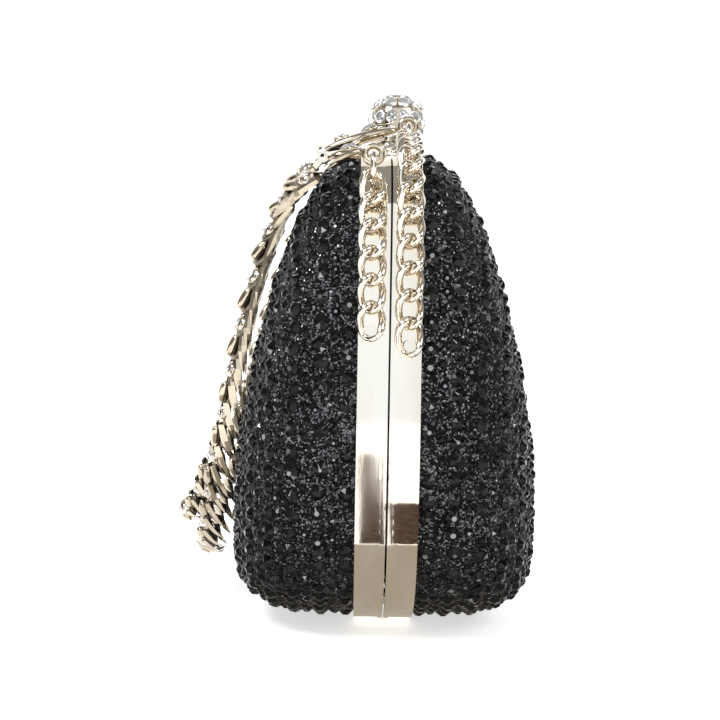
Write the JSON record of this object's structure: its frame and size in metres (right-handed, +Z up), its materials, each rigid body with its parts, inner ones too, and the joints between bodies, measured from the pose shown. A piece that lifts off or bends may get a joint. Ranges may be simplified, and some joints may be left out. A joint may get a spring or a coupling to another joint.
{
  "type": "evening bag",
  "caption": "Hard-shell evening clutch: two bulging black stone-studded halves in polished bands, ball clasp on top, curb-chain sides and draped chain handles.",
  "frame": {"origin": "on the floor under the middle of the seam between the two bands", "axes": "+X along the bag, +Y from the front half to the back half, +Z up"},
  "size_m": [0.202, 0.106, 0.1573],
  "materials": {
    "nickel": "polished pale nickel plate on steel",
    "glitter_fabric": "black fabric with fine glitter",
    "shell_board": "moulded stiff core",
    "lining_cloth": "black satin lining",
    "spring_steel": "bare spring wire",
    "crystal": "ball paved with clear stones"
  },
  "bodies": {
    "front_half": {"front_frame": "nickel", "front_cover": "glitter_fabric", "front_shell": "shell_board", "front_lining": "lining_cloth", "front_hinge_leaf": "nickel", "hinge_pin": "spring_steel", "front_catch": "nickel", "front_chain_right": "nickel", "front_chain_left": "nickel", "front_post_right": "nickel", "front_post_left": "nickel", "front_ring_right": "nickel", "front_ring_left": "nickel", "front_handle_cap_right": "nickel", "front_handle_cap_left": "nickel"},
    "back_half": {"back_frame": "nickel", "back_cover": "glitter_fabric", "back_shell": "shell_board", "back_lining": "lining_cloth", "back_hinge_leaf": "nickel", "clasp_bracket": "nickel", "clasp_pin": "spring_steel", "clasp_spring_right": "spring_steel", "clasp_spring_left": "spring_steel", "back_chain_right": "nickel", "back_chain_left": "nickel", "back_post_right": "nickel", "back_post_left": "nickel", "back_ring_right": "nickel", "back_ring_left": "nickel"},
    "clasp": {"clasp_lever": "nickel", "clasp_ball": "crystal"},
    "front_handle": {"front_handle_eye_right": "nickel", "front_handle_eye_left": "nickel", "front_handle_links_right": "nickel", "front_handle_links_low": "nickel", "front_handle_links_left": "nickel"},
    "back_caps": {"back_handle_cap_right": "nickel", "back_handle_cap_left": "nickel"},
    "back_handle": {"back_handle_eye_right": "nickel", "back_handle_eye_left": "nickel", "back_handle_links_right": "nickel", "back_handle_links_low": "nickel", "back_handle_links_left": "nickel"}
  },
  "joints": [
    {"name": "lid_open", "type": "hinge", "parent": "front_half", "child": "back_half", "pos_m": [0, 0, 0.0016], "axis": [-1, 0, 0], "range_deg": [0, 35]},
    {"name": "clasp_tilt", "type": "hinge", "parent": "back_half", "child": "clasp", "pos_m": [0, 0.0042, 0.1344], "axis": [-1, 0, 0], "range_deg": [0, 12], "stiffness_Nm_per_rad": 0.05},
    {"name": "front_handle_lift", "type": "hinge", "parent": "front_half", "child": "front_handle", "pos_m": [0, -0.0177, 0.12524], "axis": [-1, 0, 0], "range_deg": [0, 90]},
    {"name": "back_cap_turn", "type": "hinge", "parent": "back_half", "child": "back_caps", "pos_m": [0, 0.0048, 0.13817], "axis": [-1, 0, 0], "range_deg": [0, 105]},
    {"name": "back_handle_lift", "type": "hinge", "parent": "back_caps", "child": "back_handle", "pos_m": [0, -0.0191, 0.13117], "axis": [-1, 0, 0], "range_deg": [0, 90]}
  ],
  "couplings": [
    {"joint": "back_cap_turn", "follows": "lid_open", "ratio": 3},
    {"joint": "back_handle_lift", "follows": "front_handle_lift", "ratio": 1}
  ]
}
